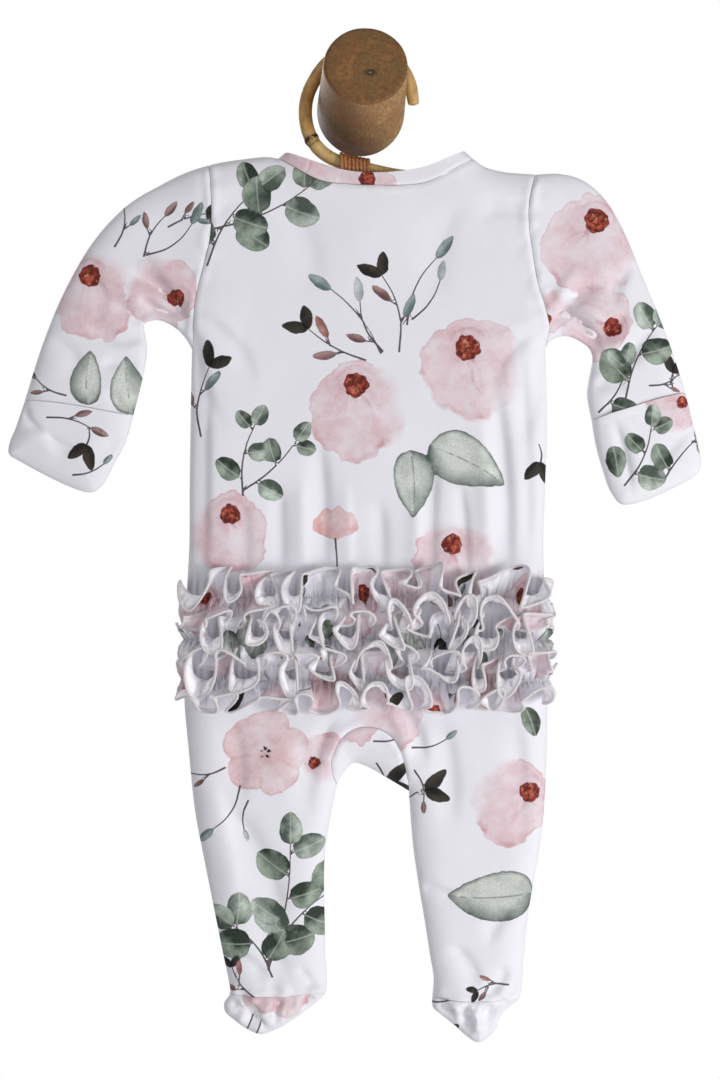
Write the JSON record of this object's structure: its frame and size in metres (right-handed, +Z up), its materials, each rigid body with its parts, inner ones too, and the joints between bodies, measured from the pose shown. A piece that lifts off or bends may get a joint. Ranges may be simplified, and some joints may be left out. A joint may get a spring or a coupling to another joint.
{
  "type": "baby footed sleepsuit on a cane hanger with a wall peg",
  "caption": "Long-sleeved footed baby sleepsuit with fold-over mittens and ruffle rows across the seat, hung back outwards on a cane hanger from a round wooden wall peg.",
  "frame": {"origin": "centre of the wall peg's flat wall face", "axes": "+Y into the wall, +Z up along the hanging suit, -X to the wearer's left"},
  "size_m": [0.4366, 0.0713, 0.6307],
  "materials": {
    "printed_jersey": "smooth cotton jersey with a watercolour floral print",
    "snap_cap": "pearly white",
    "cane": "varnished cane, golden brown",
    "binding_cord": "red-brown wound cane strip",
    "peg_wood": "oiled brown wood"
  },
  "bodies": {
    "root": {"back": "printed_jersey", "front_left": "printed_jersey", "front_right": "printed_jersey", "sleeve_left": "printed_jersey", "sleeve_right": "printed_jersey", "mitten_left": "printed_jersey", "mitten_right": "printed_jersey", "neckband": "printed_jersey", "crotch_gusset": "printed_jersey", "ruffle_top": "printed_jersey", "ruffle_middle": "printed_jersey", "ruffle_bottom": "printed_jersey", "foot_sole_left": "printed_jersey", "foot_sole_right": "printed_jersey", "foot_upper_left": "printed_jersey", "foot_upper_right": "printed_jersey", "placket": "printed_jersey", "snap_1": "snap_cap", "snap_2": "snap_cap", "snap_3": "snap_cap", "snap_4": "snap_cap", "snap_5": "snap_cap", "snap_6": "snap_cap", "snap_7": "snap_cap", "hanger_bar": "cane", "hanger_hook": "cane", "hook_binding": "binding_cord", "wall_peg": "peg_wood"}
  },
  "joints": []
}
